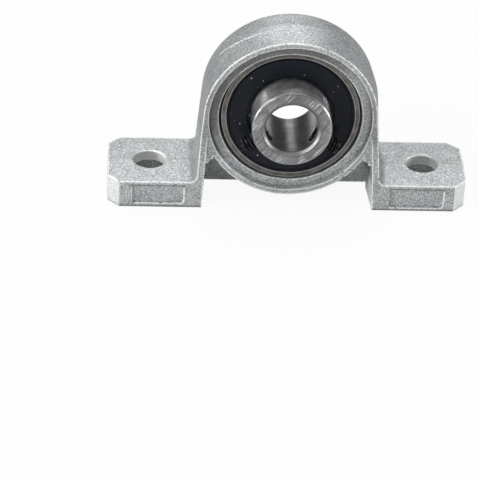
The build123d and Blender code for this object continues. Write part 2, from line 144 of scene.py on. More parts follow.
class Finish:
    """A material with one Principled shader, made from wires."""

    def __init__(self, name, **constants):
        self.colour = None
        self.material = bpy.data.materials.new(name)
        self.material.use_nodes = True
        self.tree = self.material.node_tree
        self.shader = self.tree.nodes["Principled BSDF"]
        self.set(**constants)

    def set(self, **sockets):
        """Values or wires for the shader's sockets, with _ for the spaces in their names."""
        for name, value in sockets.items():
            connect(self.tree, value, self.shader.inputs[name.replace("_", " ")])

    def node(self, kind, settings=None, inputs=None, output=0):
        """Any shader node: first its settings, then the values or wires of its sockets."""
        made = self.tree.nodes.new("ShaderNode" + kind)
        for name, value in (settings or {}).items():
            setattr(made, name, value)
        for name, value in (inputs or {}).items():
            if value is not None:
                connect(self.tree, value, made.inputs[name])
        return Wire(made.outputs[output])

    def place(self):
        """Where the point lies on the piece, in metres in the shared frame."""
        return self.node("TexCoord", output="Object")

    def stretched(self, scale, turn=(0, 0, 0)):
        """The place, turned and then scaled, for patterns that run one way."""
        settings = {"vector_type": "POINT"}
        turned = self.node("Mapping", settings, {"Vector": self.place(), "Rotation": turn})
        return self.node("Mapping", settings, {"Vector": turned, "Scale": scale})

    def noise(self, size, detail=2.0, rough=0.5, where=None):
        """Cloudy noise around 0.5, with features about this many millimetres wide."""
        return self.node("TexNoise", None, {
            "Vector": where or self.place(), "Scale": 1 / (size * MM), "Detail": detail,
            "Roughness": rough})

    def ramp(self, value, low, high, start=0.0, end=1.0):
        """A smooth step of this value from start, at low, to end, at high."""
        return self.node("MapRange", {"interpolation_type": "SMOOTHSTEP"}, {
            "Value": value, "From Min": low, "From Max": high, "To Min": start, "To Max": end})

    def until(self, value, edge, fade):
        """1 up to this edge, and 0 from where the mask has faded away."""
        return self.ramp(value, edge, edge + fade, 1.0, 0.0)

    def beyond(self, value, edge, fade):
        """0 up to this edge, and 1 from where the mask has faded in."""
        return self.ramp(value, edge, edge + fade)

    def mix(self, mask, first, second):
        """A colour between two others."""
        return self.node("Mix", {"data_type": "RGBA"}, {0: mask, 6: first, 7: second}, output=2)

    def stain(self, mask, colour):
        """Lays a colour over the finish so far, where the mask is 1."""
        self.colour = self.mix(mask, self.colour, colour)

    def split(self, vector):
        """A vector as three wires."""
        parts = self.tree.nodes.new("ShaderNodeSeparateXYZ")
        connect(self.tree, vector, parts.inputs[0])
        return [Wire(parts.outputs[name]) for name in "XYZ"]

    def axes(self):
        """The place as three wires, in millimetres: x, y and z."""
        return [part / MM for part in self.split(self.place())]

    def vector(self, operation, first, second=None, scale=None, output=0):
        """A Vector Math node."""
        return self.node("VectorMath", {"operation": operation},
                         {0: first, 1: second, "Scale": scale}, output)

    def dot(self, first, second):
        return self.vector("DOT_PRODUCT", first, second, output="Value")

    def wear(self, radius, reach):
        """A mask of the outer edges, and the normal that rounds every edge a little.

        Rays sent into the solid leave it at once beside an outer edge, and nowhere else."""
        rounded = self.node("Bevel", {"samples": ROUNDING_SAMPLES}, {"Radius": radius * MM})
        inwards = {"samples": RAYS_INTO_SOLID, "only_local": True, "inside": True}
        inside = self.node("AmbientOcclusion", inwards, {"Distance": reach * MM}, output="AO")
        return self.ramp(inside, EDGE_SHARE, FLAT_SHARE, 1.0, 0.0), rounded

    def bumps(self, height, depth, normal=None):
        """The normal that this height map gives; depth is its full height in millimetres."""
        return self.node("Bump", None, {"Height": height, "Distance": depth * MM,
                                        "Normal": normal})

    def cover(self, *nodes):
        """Gives this finish to CAD nodes, or to pieces made here."""
        for name in nodes:
            piece = frame["nodes"][name] if isinstance(name, str) else name
            piece.data.materials.clear()
            piece.data.materials.append(self.material)


print("a finish has noise, ramps, stains, wear and bumps")

# %% [markdown]
# ## The camera
#
# The bearing is seen from the front and well above, through a long lens from about 0.38 m away,
# and the camera is rolled by less than three degrees.  A camera looks along its own -Z, so its
# matrix needs three directions: right, up, and the one that points back at the viewer.

# %% Place the camera
VIEW_AZIMUTH, VIEW_ELEVATION, VIEW_ROLL = map(math.radians, (-3.155, 33.628, 2.645))
VIEW_FROM = Vector((-24.171, -317.251, 201.321)) * MM
FOCAL_LENGTH_MM, SENSOR_MM = 182.560, 36.0


def add_camera():
    """A long lens at VIEW_FROM, turned and rolled by the three angles."""
    lens = bpy.data.cameras.new("camera")
    lens.sensor_width = SENSOR_MM
    lens.lens = FOCAL_LENGTH_MM
    lens.clip_start, lens.clip_end = 0.01, 10.0
    camera = bpy.data.objects.new("camera", lens)
    bpy.context.collection.objects.link(camera)
    across = Vector((math.cos(VIEW_AZIMUTH), math.sin(VIEW_AZIMUTH), 0))
    ahead = Vector((-math.sin(VIEW_AZIMUTH) * math.cos(VIEW_ELEVATION),
                    math.cos(VIEW_AZIMUTH) * math.cos(VIEW_ELEVATION),
                    -math.sin(VIEW_ELEVATION)))
    upward = across.cross(ahead)
    right = across * math.cos(VIEW_ROLL) + upward * math.sin(VIEW_ROLL)
    up = upward * math.cos(VIEW_ROLL) - across * math.sin(VIEW_ROLL)
    turn = Matrix((right, up, -ahead)).transposed().to_4x4()
    camera.matrix_world = Matrix.Translation(VIEW_FROM) @ turn
    bpy.context.scene.camera = camera
    return camera


camera = add_camera()
print("camera at", [round(c, 3) for c in camera.matrix_world.translation])

# %% [markdown]
# ## The studio
#
# Small machined metal is hard to light, because it shows the room more than it shows itself.  The
# room here is plain white, with a pale floor, three grey curtains and a few soft lamps.  The
# darkest curtain hangs behind the viewer, so metal that faces the viewer stays grey.  Two lighter
# ones hang at the back, to the left and to the right.  The white room shows above them and
# through the gaps between them, and gives the metal its bright bands.  The curtains are real
# surfaces and not a painted shade, so they also do their work when the bearing is seen from
# elsewhere.

# %% The white room
ROOM_LEVEL = 0.8


def seen_directly(tree, in_metal=1.0):
    """1 for rays from the camera, and in_metal for those that metal or glass sends on."""
    path = tree.nodes.new("ShaderNodeLightPath")
    rays = [Wire(path.outputs[name]) for name in ("Is Camera Ray", "Is Glossy Ray",
                                                  "Is Transmission Ray")]
    return rays[0].most(rays[1].most(rays[2]) * in_metal)


def add_world():
    """A room that looks white, also in metal, and that lights with ROOM_LEVEL."""
    world = bpy.data.worlds.new("studio")
    bpy.context.scene.world = world
    world.use_nodes = True
    tree = world.node_tree
    seen = seen_directly(tree)
    connect(tree, seen + (1 - seen) * ROOM_LEVEL, tree.nodes["Background"].inputs["Strength"])
    connect(tree, (1.0, 1.0, 1.0), tree.nodes["Background"].inputs["Color"])
    return world


add_world()
bpy.context.scene.view_settings.view_transform = "Standard"
print("room level:", ROOM_LEVEL)

# %% A pale floor that keeps a soft shadow
FLOOR_SIZE = 3.0
FLOOR_DROP = 0.02 * MM      # the floor is this far under the feet, so that no two faces meet
FLOOR_GREY = 0.60
FLOOR_GLOW = 0.93
FLOOR_GLOW_IN_METAL = 0.15


def add_floor():
    """A grey floor that glows where it is looked at, so that it is nearly white."""
    mesh = bpy.data.meshes.new("floor")
    half = FLOOR_SIZE / 2
    mesh.from_pydata([(-half, -half, 0), (half, -half, 0), (half, half, 0), (-half, half, 0)],
                     [], [(0, 1, 2, 3)])
    floor = bpy.data.objects.new("floor", mesh)
    bpy.context.collection.objects.link(floor)
    floor.location.z = -FLOOR_DROP
    paint = Finish("pale_floor", Base_Color=(FLOOR_GREY,) * 3, Roughness=0.9,
                   Specular_IOR_Level=0.1)
    glow = paint.tree.nodes.new("ShaderNodeEmission")
    both = paint.tree.nodes.new("ShaderNodeMixShader")
    seen = seen_directly(paint.tree, FLOOR_GLOW_IN_METAL / FLOOR_GLOW)
    connect(paint.tree, seen * FLOOR_GLOW, both.inputs[0])
    paint.tree.links.new(paint.shader.outputs[0], both.inputs[1])
    paint.tree.links.new(glow.outputs[0], both.inputs[2])
    paint.tree.links.new(both.outputs[0], paint.tree.nodes["Material Output"].inputs[0])
    floor.data.materials.append(paint.material)
    return floor


floor = add_floor()
print("floor:", FLOOR_SIZE, "m wide")

# %% Grey curtains
CURTAIN_RADIUS, CURTAIN_STEPS = 0.9, 24
# name: (first and last direction in degrees from straight behind, height, lightness)
CURTAINS = {
    "curtain_front": (118, 242, 0.75, 0.07),
    "curtain_back_left": (9, 96, 0.95, 0.20),
    "curtain_back_right": (264, 351, 0.95, 0.16),
}


def add_curtain(name, first, last, height, lightness):
    """A bent sheet that stands round the bearing, hidden from the camera but not from metal."""
    points, faces = [], []
    for step in range(CURTAIN_STEPS + 1):
        turn = math.radians(first + (last - first) * step / CURTAIN_STEPS)
        x, y = -CURTAIN_RADIUS * math.sin(turn), CURTAIN_RADIUS * math.cos(turn)
        points += [(x, y, 0), (x, y, height)]
    for step in range(CURTAIN_STEPS):
        low = 2 * step
        faces.append((low, low + 2, low + 3, low + 1))
    mesh = bpy.data.meshes.new(name)
    mesh.from_pydata(points, [], faces)
    curtain = bpy.data.objects.new(name, mesh)
    bpy.context.collection.objects.link(curtain)
    curtain.visible_camera = False
    cloth = Finish(name + "_cloth", Base_Color=(lightness,) * 3, Roughness=1.0,
                   Specular_IOR_Level=0.0)
    curtain.data.materials.append(cloth.material)
    return curtain


for name, curtain in CURTAINS.items():
    add_curtain(name, *curtain)
print("curtains:", ", ".join(CURTAINS))

# %% Soft lamps
# name: (position in metres, width, height, radiance)
LAMPS = {
    "lamp_above": ((0.01, 0.20, 0.56), 0.30, 0.26, 6.0),
    "lamp_left": ((-0.47, -0.20, 0.03), 0.17, 0.22, 19.0),
    "lamp_left_front": ((-0.31, -0.24, 0.31), 0.14, 0.14, 12.0),
    "lamp_left_high": ((-0.42, -0.05, 0.25), 0.10, 0.11, 21.0),
    "lamp_right": ((0.49, -0.10, 0.03), 0.14, 0.22, 20.0),
    "lamp_right_high": ((0.42, 0.00, 0.31), 0.07, 0.07, 9.0),
}


def add_lamp(name, position, width, height, radiance):
    """A bright rectangle that faces the insert; its power follows from its size."""
    light = bpy.data.lights.new(name, "AREA")
    light.shape = "RECTANGLE"
    light.size, light.size_y = width, height
    light.energy = radiance * math.pi * width * height
    lamp = bpy.data.objects.new(name, light)
    bpy.context.collection.objects.link(lamp)
    lamp.location = position
    aim = INSERT_MIDDLE - Vector(position)
    lamp.rotation_euler = aim.to_track_quat("-Z", "Y").to_euler()
    return lamp


for name, lamp in LAMPS.items():
    add_lamp(name, *lamp)
print("lamps:", ", ".join(LAMPS))

# %% [markdown]
# ## Cast zinc
#
# The housing is a zinc die casting, tumbled after it was broken out of the die.  Its skin is a
# matt silver grey, with light specks painted in as the glints of its grains.  The tumbling has
# rubbed the outer edges, and their near-white colour also paints the highlights of the rounded
# edges.  Painted shade darkens the corners, the web and the flanks of the head, and painted light
# brightens a few faces.  A painted texture would have to be fitted to each face.  Here each mark
# is placed by distance instead: a mask says how many millimetres the point lies from a form of
# the casting, such as the head's axis, a bolt hole or the base.

# %% The grains of the zinc
# How wide each kind of mark is, in millimetres
GRAIN, BLOTCH, SPECK, PIT, NICK = 0.22, 2.4, 0.34, 0.32, 0.5
ZINC_DARK, ZINC_LIGHT = (0.30, 0.320, 0.325), (0.625, 0.648, 0.652)
# The dark of the pits, which also serves as the painted shade on the web and the flanks
PITS_AND_PAINTED_SHADE = (0.12, 0.125, 0.13)


def zinc_grains(zinc):
    """Colours the skin, paints glints as light specks, and gives the grains, blotches and pits.
    """
    grain = zinc.noise(GRAIN, detail=3.0, rough=0.7)
    blotch = zinc.noise(BLOTCH, detail=2.0)
    glint_speck = zinc.ramp(zinc.noise(SPECK, detail=1.0), 0.62, 0.70)
    squeezed = zinc.stretched((1.1, 0.9, 1.0))
    pit = zinc.ramp(zinc.noise(PIT, detail=1.0, where=squeezed), 0.63, 0.72)
    tone = zinc.ramp(grain + (blotch - 0.5) * 0.14, 0.38, 0.62)
    zinc.colour = zinc.mix(tone, ZINC_DARK, ZINC_LIGHT)
    # Light specks: painted glints of the zinc's sparkle
    zinc.stain(glint_speck * 0.6, (0.92, 0.93, 0.94))
    zinc.stain(pit * 0.6, PITS_AND_PAINTED_SHADE)
    return grain, blotch, pit


print("grains of", GRAIN, "mm, and pits of", PIT, "mm")

# %% [markdown]
# ### Painted shade
#
# The corners inside the mouth of the head, the upper part of the mouth's wall and the web between
# the legs get painted shade, and so, less plainly, do the steep flanks of the head.  Ambient
# occlusion finds the corners by itself, with short rays.  The rest are broad places on smooth
# faces, so they are laid down by their distances.

# %% Painted shade on the head and the web
HEAD_HEIGHT, HEAD_RADIUS = 15.0, 13.5
MOUTH_RADIUS = 12.3     # of the stepped mouth in front
CREVICE = 0.6           # how far away the wall of a crevice may be
WEB_HALF = 0.9          # of its thickness
LEG_INSIDE = 12.4       # how far the inner sides of the legs are from the middle


def housing_place(zinc):
    """x, y and z in millimetres, and how far the point is from the head's axis."""
    x, y, z = zinc.axes()
    return x, y, z, (x * x + (z - HEAD_HEIGHT) * (z - HEAD_HEIGHT)) ** 0.5


def paint_mouth_shade(zinc, place):
    """Paints shade into the corners inside the mouth, and onto the upper part of its wall."""
    x, _, z, from_head = place
    open_air = zinc.node("AmbientOcclusion", {"samples": 6, "only_local": True},
                         {"Distance": CREVICE * MM}, output="AO")
    # Painted shade in the corners that the short rays find
    corner = zinc.until(open_air, 0.45, 0.40) * zinc.until(from_head, MOUTH_RADIUS, 0.2)
    zinc.stain(corner * 0.7, (0.13, 0.128, 0.12))
    # Painted shade on the upper part of the mouth's wall, most towards the left
    wall = zinc.until(from_head, MOUTH_RADIUS + 0.02, 0.1)
    zinc.stain(wall * zinc.beyond(z - x * 0.6, 11.0, 13.0) * 0.7, (0.10, 0.097, 0.085))


def paint_web_shade(zinc, place):
    """Paints shade onto the web between the legs, more on the left, and onto the head's flanks.
    """
    x, y, z, from_head = place
    web = zinc.until(abs(y), WEB_HALF + 0.05, 0.15) * zinc.until(abs(x), LEG_INSIDE, 0.2)
    web = web * zinc.beyond(from_head, HEAD_RADIUS - 0.4, 0.2) * zinc.until(z, 8.5, 1.0)
    web = web * zinc.ramp(x, -13.0, 13.0, 0.45, 0.27)
    flank = zinc.ramp(abs(x), 9.0, 13.2, 0.0, 0.42) * zinc.beyond(z, 8.0, 6.0)
    # Painted shade on the web and on the flanks of the head
    zinc.stain(web.most(flank), PITS_AND_PAINTED_SHADE)


print("mouth of the head:", 2 * MOUTH_RADIUS, "mm wide, web:", 2 * WEB_HALF, "mm thick")

# %% [markdown]
# ### Marks on the feet
#
# The two halves of the die leave a thin seam across the feet.  The walls of the bolt holes get
# painted light, and a painted contact shadow runs along the base.  The faces of the feet that
# look sideways get painted light too.  The recessed panels in front have low walls, whose shade
# is faint in soft light, so a line of painted shade helps it along.  Lines like these could be
# cut into the mesh, but as masks they cost nothing and can fade away.

# %% Marks on the feet
FOOT_HEIGHT = 4.6
BOLT_X, BOLT_RADIUS = 21.0, 2.5
TOP_LINE_Z, LEFT_LINES_X = 3.75, (-23.45, 15.85)     # beside the walls of the panels
PANELS_BEFORE_Y = -6.3
# The colour of the painted shade along the base and in the panels
PAINTED_SHADE_LINE = (0.12, 0.12, 0.12)


def mark_feet(zinc, place, blotch, seam_line):
    """The die's seam, painted light in the bolt holes, and a painted contact shadow at the base.
    """
    x, y, z, _ = place
    seam = zinc.until(abs(y + (blotch - 0.5) * 0.6), 0.05, 0.11) * seam_line
    zinc.stain(seam * zinc.until(z, FOOT_HEIGHT + 0.3, 0.2), (0.22, 0.225, 0.23))
    from_bolt = ((abs(x) - BOLT_X) * (abs(x) - BOLT_X) + y * y) ** 0.5
    # Painted light on the walls of the bolt holes
    zinc.stain(zinc.until(from_bolt, BOLT_RADIUS + 0.02, 0.08) * 0.7, (0.85, 0.86, 0.84))
    # Painted contact shadow along the base, where the feet stand on the floor
    base = zinc.until(z, 0.15, 0.25) * 0.8
    zinc.stain(base, PAINTED_SHADE_LINE)
    return base


def paint_light_on_ends(zinc, place):
    """Paints light onto the sideways faces of the feet, less on the left, and gives their mask.
    """
    x, _, z, _ = place
    facing = abs(zinc.split(zinc.node("NewGeometry", output="True Normal"))[0])
    ends = zinc.beyond(facing, 0.5, 0.15) * zinc.until(z, FOOT_HEIGHT - 0.2, 0.2)
    ends = ends * zinc.ramp(x, -25.0, -20.0, 0.55, 1.0)
    # Painted light on the faces that look sideways
    zinc.stain(ends * 0.5, (0.88, 0.90, 0.89))
    return ends


def paint_panel_shade(zinc, place):
    """A line of painted shade under the top wall of each panel, and beside its left wall."""
    x, y, z, _ = place
    on_panel = zinc.beyond(abs(x), 15.4, 0.2) * zinc.until(abs(x), 24.1, 0.2)
    on_panel = on_panel * zinc.beyond(z, 0.5, 0.2) * zinc.until(z, 3.9, 0.15)
    under = zinc.until(abs(z - TOP_LINE_Z), 0.12, 0.16)
    left, right = (abs(x - line) for line in LEFT_LINES_X)
    beside = zinc.until(left.least(right), 0.12, 0.16)
    lines = under.most(beside) * on_panel * zinc.until(y, PANELS_BEFORE_Y, 0.3)
    # Painted shade along the top and left walls of the panels
    zinc.stain(lines * 0.6, PAINTED_SHADE_LINE)
    return lines


print("feet:", FOOT_HEIGHT, "mm high, bolt holes:", 2 * BOLT_X, "mm apart")

# %% [markdown]
# ### Rubbed edges and painted highlights
#
# The last layer is the wear on the outer edges, whose near-white colour also paints the
# highlights of the rounded edges.  It breaks up with the grains, it leaves out the lines of
# painted shade and the narrow gaps between the legs and the head, and a few nicks interrupt it.
# Metal laid bare throws the light about more evenly than the cast skin does, so the finish is
# less metallic there.

# %% Zinc finish
SKIN_DEPTH = 0.05       # of the grains
ROUNDING, WEAR_REACH = 0.15, 0.35


def make_zinc(name="cast_zinc", seam_line=0.3, wear_and_highlight=0.95):
    """Cast zinc with its seam, and with edge wear and painted highlights this strong."""
    zinc = Finish(name, Specular_Tint=(0.6, 0.6, 0.6))
    edge, rounded = zinc.wear(ROUNDING, WEAR_REACH)
    grain, blotch, pit = zinc_grains(zinc)
    place = housing_place(zinc)
    paint_mouth_shade(zinc, place)
    paint_web_shade(zinc, place)
    base = mark_feet(zinc, place, blotch, seam_line)
    ends = paint_light_on_ends(zinc, place)
    lines = paint_panel_shade(zinc, place)
    x, _, z, from_head = place
    between = zinc.beyond(from_head, HEAD_RADIUS - 0.08, 0.08)
    between = between * zinc.until(abs(x), LEG_INSIDE - 0.35, 0.1)
    edge_wear_and_highlight = edge * zinc.ramp(grain, 0.36, 0.56, 0.5, 1.0) * (1 - base) * (1 - lines)
    edge_wear_and_highlight = edge_wear_and_highlight * (1 - between * zinc.until(z, 8.5, 0.5) * 0.85) * wear_and_highlight
    # Wear and painted highlight on the outer edges
    zinc.stain(edge_wear_and_highlight, (0.98, 0.98, 0.98))
    nick = edge * zinc.ramp(zinc.noise(NICK, detail=0.0), 0.72, 0.78)
    zinc.stain(nick * 0.9, (0.05, 0.05, 0.055))
    zinc.set(Base_Color=zinc.colour, Metallic=0.9 - edge_wear_and_highlight * 0.6 - ends * 0.35,
             Roughness=0.52 - edge * 0.22 + (grain - 0.5) * 0.25,
             Normal=zinc.bumps(grain - pit * 0.7, SKIN_DEPTH, rounded))
    return zinc


zinc = make_zinc()
zinc.cover("housing")
print("zinc covers the housing, with", len(zinc.tree.nodes), "nodes")

# %% [markdown]
# ## Turned and ground steel
#
# The inner ring and its collar are turned and then ground: almost mirrors, with fine rings that
# run round the shaft.  The outer ring is the same steel, a little duller and warmer.  Each fine
# ring is a groove whose walls throw the light forwards or backwards, and a bump map that fine
# would only make noise.  Here the normal itself leans along the shaft, by the teeth of a saw
# that noise makes uneven.  The insert sits a little crooked in the housing, so its own axis is
# measured from the joint and not from the room.

# %% Measure from the insert
def insert_place(steel):
    """Distance along the shaft from the insert's middle, radius, and the way out, as wires."""
    turn = (INSERT_LEAN, 0, 0)
    middle = Matrix.Rotation(INSERT_LEAN, 3, "X") @ INSERT_MIDDLE
    own = steel.node("Mapping", {"vector_type": "POINT"}, {
        "Vector": steel.place(), "Rotation": turn, "Location": tuple(-middle)})
    x, along, up = [part / MM for part in steel.split(own)]
    radius = (x * x + up * up) ** 0.5
    flat = steel.node("CombineXYZ", None, {0: x, 1: 0.0, 2: up})
    return along, radius, steel.vector("NORMALIZE", flat)


print("the insert's middle in mm:", [round(part / MM, 2) for part in INSERT_MIDDLE])

# %% Turned lines
TURNED_LINES = 16.0     # per millimetre
LINE_TEETH = 6.0        # saw teeth for each rise of the noise from 0 to 1
GROOVE_SHARE = 0.66     # of each tooth that is flat; the rest faces forwards
DEEP_SHARE = 0.88       # and beyond this it faces forwards more
RIPPLE_LEAN, GROOVE_LEAN, DEEP_LEAN = 0.2, 0.5, 0.25


def turned_lines(steel, distance, number):
    """Lines across this distance, and how far the surface leans in each of them."""
    where = steel.node("CombineXYZ", None,
                       {0: distance * TURNED_LINES, 1: 7.0 * number, 2: 0.0})
    lines = steel.node("TexNoise", None, {"Vector": where, "Scale": 1.0, "Detail": 3.0,
                                          "Roughness": 0.7})
    tooth = (lines * LINE_TEETH).fraction()
    lean = (tooth - 0.5) * RIPPLE_LEAN
    lean = lean - steel.beyond(tooth, GROOVE_SHARE, 0.05) * GROOVE_LEAN
    return lines, lean - steel.beyond(tooth, DEEP_SHARE, 0.05) * DEEP_LEAN


print("turned lines per mm:", TURNED_LINES)

# %% [markdown]
# ### The collar
#
# The collar's face was ground flat, which left straight scratches in patches.  The bore, the rim
# round it and the collar's outside are a little duller than the rest, and the rim is painted
# darker as painted shade that dims its reflection.  The two tapped holes get painted threads:
# light stripes are painted highlights on the crests, and dark stripes painted shade in the
# grooves.  A real thread would have to be cut into the solid, and the holes are so deep and
# narrow that a striped wall can hardly be told from it.

# %% What only the collar has
SCREW_ALONG_SHAFT, THREAD_PITCH = -5.5 * MM, 0.5 * MM
TAPPED_RADIUS = 1.33    # a little more than the tapped hole
SCRATCH_SLANT = math.radians(40)
FACE_ALONG = -8.0       # the collar's face, in millimetres from the insert's middle


def tapped_threads(steel):
    """Masks for the painted crest highlights and groove shade in the two tapped holes."""
    middle = INSERT_MIDDLE + SHAFT_WAY * SCREW_ALONG_SHAFT
    from_middle = steel.vector("SUBTRACT", steel.place(), tuple(middle))
    square = steel.dot(from_middle, from_middle)
    crests = grooves = 0.0
    for joint in frame["joints"]:
        if joint["name"].startswith("set_screw_"):
            out = steel.dot(from_middle, tuple(Vector(joint["axis"]).normalized()))
            off_axis = (square - out * out).most(0.0) ** 0.5 / MM
            inside = steel.until(off_axis, TAPPED_RADIUS, 0.04) * steel.beyond(out, 0, 1 * MM)
            wave = (out * (2 * math.pi / THREAD_PITCH)).sine()
            crests = inside * steel.ramp(wave, 0.3, 0.8) + crests
            grooves = inside * steel.ramp(wave, -0.2, 0.3, 1.0, 0.0) + grooves
    return crests, grooves


def scratch_face(steel, along):
    """Dark and light scratches across the collar's face; gives the mask of the light ones."""
    slanted = steel.stretched((1.0, 0.03, 0.03), (0, -SCRATCH_SLANT, 0))
    hair = steel.noise(0.11, detail=2.0, rough=0.6, where=slanted)
    patch = steel.ramp(steel.noise(2.2, detail=1.0), 0.44, 0.60)
    on_face = steel.until(along, FACE_ALONG + 0.03, 0.03)
    light = steel.ramp(hair, 0.57, 0.64) * patch * on_face
    dark = steel.ramp(hair, 0.38, 0.46, 1.0, 0.0) * on_face
    steel.stain(dark * 0.6, (0.07, 0.07, 0.07))
    steel.stain(light * 0.8, (0.90, 0.90, 0.90))
    return light


def dress_collar(steel, along, radius):
    """Scratches, painted shade on the bore's rim and painted threads; gives each place's
    roughening.
    """
    scratches = scratch_face(steel, along)
    bore_rim = steel.until(radius, 4.55, 0.1) * steel.until(along, -7.35, 0.1)
    # Painted shade on the rim round the bore, which dims its reflection
    steel.stain(bore_rim * 0.5, (0.12, 0.12, 0.12))
    crests, grooves = tapped_threads(steel)
    # Painted shade in the grooves and painted highlights on the crests of the tapped threads
    steel.stain(grooves * 0.9, (0.02, 0.02, 0.02))
    steel.stain(crests, (0.90, 0.90, 0.90))
    in_bore = steel.until(radius, 4.05, 0.1)
    outside = steel.beyond(radius, 5.7, 0.2)
    return scratches * 0.2 + bore_rim * 0.22 + in_bore * 0.10 + outside * 0.10


print("the collar's face is", -FACE_ALONG, "mm in front of the insert's middle")

# %% Bearing steel finishes
ROUNDING_STEEL, WEAR_REACH_STEEL = 0.10, 0.20
BORE_SIDE, OUTER_SIDE = 4.4, 5.6     # radii between which one lean passes into the other
FACE_LEAN, FACE_START = 0.5, 0.15    # how far the lines on a flat face lean outwards


def make_ring_steel(name, light, dark, rough, lean_inside, lean_outside, wear_and_highlight=0.9,
                    collar=False):
    """Steel with turning marks round the shaft, which smear its reflections across them."""
    steel = Finish(name)
    edge, rounded = steel.wear(ROUNDING_STEEL, WEAR_REACH_STEEL)
    along, radius, outwards = insert_place(steel)
    lines_along, lean_along = turned_lines(steel, along, 0)
    lines_out, lean_out = turned_lines(steel, radius, 1)
    smear = steel.noise(1.3, detail=2.0)
    tone = (lines_along + lines_out) * 0.2 + smear * 0.6
    steel.colour = steel.mix(steel.ramp(tone, 0.3, 0.7), dark, light)
    rougher = dress_collar(steel, along, radius) if collar else 0.0
    # Wear and painted highlight on the edges of the steel
    steel.stain(edge * wear_and_highlight, (0.95, 0.95, 0.95))
    reach = steel.ramp(radius, BORE_SIDE, OUTER_SIDE, 2 * lean_inside, 2 * lean_outside)
    tilt = steel.vector("SCALE", tuple(SHAFT_WAY), scale=lean_along * reach)
    fan = steel.vector("SCALE", outwards, scale=(lean_out + FACE_START) * FACE_LEAN)
    turned = steel.node("VectorTransform", {"vector_type": "VECTOR", "convert_from": "OBJECT",
                                            "convert_to": "WORLD"},
                        {"Vector": steel.vector("ADD", tilt, fan)})
    leaning = steel.vector("ADD", rounded, turned)
    steel.set(Base_Color=steel.colour, Normal=steel.vector("NORMALIZE", leaning),
              Roughness=rough + (smear - 0.5) * 0.1 + edge * 0.15 + rougher,
              Metallic=1 - edge * (wear_and_highlight * 0.45))
    return steel


collar_steel = make_ring_steel("turned_steel", (0.34, 0.34, 0.345), (0.20, 0.20, 0.205), 0.20,
                               0.12, 0.65, collar=True)
collar_steel.cover("inner_ring")
race_steel = make_ring_steel("ground_steel", (0.20, 0.19, 0.18), (0.09, 0.086, 0.08), 0.34,
                             0.2, 0.2, wear_and_highlight=0.4)
race_steel.cover("outer_ring")
ball_steel = make_ring_steel("ball_steel", (0.85, 0.85, 0.85), (0.80, 0.80, 0.80), 0.08, 0.0, 0.0)
ball_steel.cover(*[name for name in frame["nodes"] if name.startswith("ball_")])
print("steel covers the rings and the balls")

# %% [markdown]
# ## Pressed steel, black screws and rubber
#
# The cage, its rivets and the washers inside the seals are pressed steel.  The set screws have a
# black oxide skin, whose wear leaves the crests of the thread grey, and that grey also paints
# their glints.  The rubber of the seals is nearly black and matt, with a few grains of dust, and
# a faint grey on its edges paints their highlight.

# %% Other finishes
ROUNDING_THIN, WEAR_REACH_THIN = 0.04, 0.07
DUST, DUST_COLOUR = 0.32, (0.75, 0.76, 0.78)
# The patches on an edge are wear, and also painted highlight
WEAR_AND_HIGHLIGHT_PATCH = 0.5        # how wide the worn patches on an edge are


def make_plain(name, light, dark, rough, metallic, grain, depth, wear_and_highlight=None, dust=0.0):
    """A clouded finish, whose edges may take wear and painted highlight, and which may be dusty.
    """
    plain = Finish(name, Metallic=metallic)
    edge, rounded = plain.wear(ROUNDING_THIN, WEAR_REACH_THIN)
    cloud = plain.noise(grain, detail=3.0, rough=0.6)
    plain.colour = plain.mix(plain.ramp(cloud, 0.3, 0.7), dark, light)
    if wear_and_highlight:
        # Wear and painted highlight on the edges, in patches
        plain.stain(edge * plain.ramp(plain.noise(WEAR_AND_HIGHLIGHT_PATCH), 0.45, 0.6), wear_and_highlight)
    if dust:
        plain.stain(plain.ramp(plain.noise(DUST, detail=0.0), 0.83, 0.86) * dust, DUST_COLOUR)
    plain.set(Base_Color=plain.colour, Roughness=rough + (cloud - 0.5) * 0.2,
              Normal=plain.bumps(cloud, depth, rounded))
    return plain


cage_steel = make_plain("pressed_steel", (0.55, 0.54, 0.52), (0.42, 0.41, 0.40), 0.35, 1.0, 0.3,
                        0.004)
cage_steel.cover(*[name for name in frame["nodes"] if name.startswith("cage_")])
washer_steel = make_plain("washer_steel", (0.50, 0.50, 0.50), (0.40, 0.40, 0.40), 0.4, 1.0, 0.3,
                          0.004)
washer_steel.cover("seal_front_stiffener", "seal_rear_stiffener")
screw_steel = make_plain("black_oxide", (0.012, 0.013, 0.017), (0.004, 0.004, 0.005), 0.36, 0.4,
                         0.2, 0.006, wear_and_highlight=(0.32, 0.33, 0.35))
screw_steel.set(Specular_IOR_Level=0.2)
screw_steel.cover("set_screw_left", "set_screw_right")
rubber = make_plain("seal_rubber", (0.013, 0.016, 0.021), (0.008, 0.010, 0.014), 0.36, 0.0,
                    0.35, 0.006, wear_and_highlight=(0.13, 0.14, 0.15), dust=0.8)
rubber.set(Specular_IOR_Level=0.14)
rubber.cover("seal_front", "seal_rear")
print("materials:", len(bpy.data.materials))

# %% [markdown]
# ## Set screws with a real thread
#
# A plain cylinder never looks like a screw, because the eye looks for the ridges.  A thread is a
# ridge that climbs by one pitch in each turn, so the screw is made here as a grid of points: one
# row for each small step along the axis, one column for each direction round it, and a radius
# that rises and falls with the height above the nearest turn of the ridge.  The same grid carries
# on over the end and down into the hexagon socket, so the screw is one closed skin.

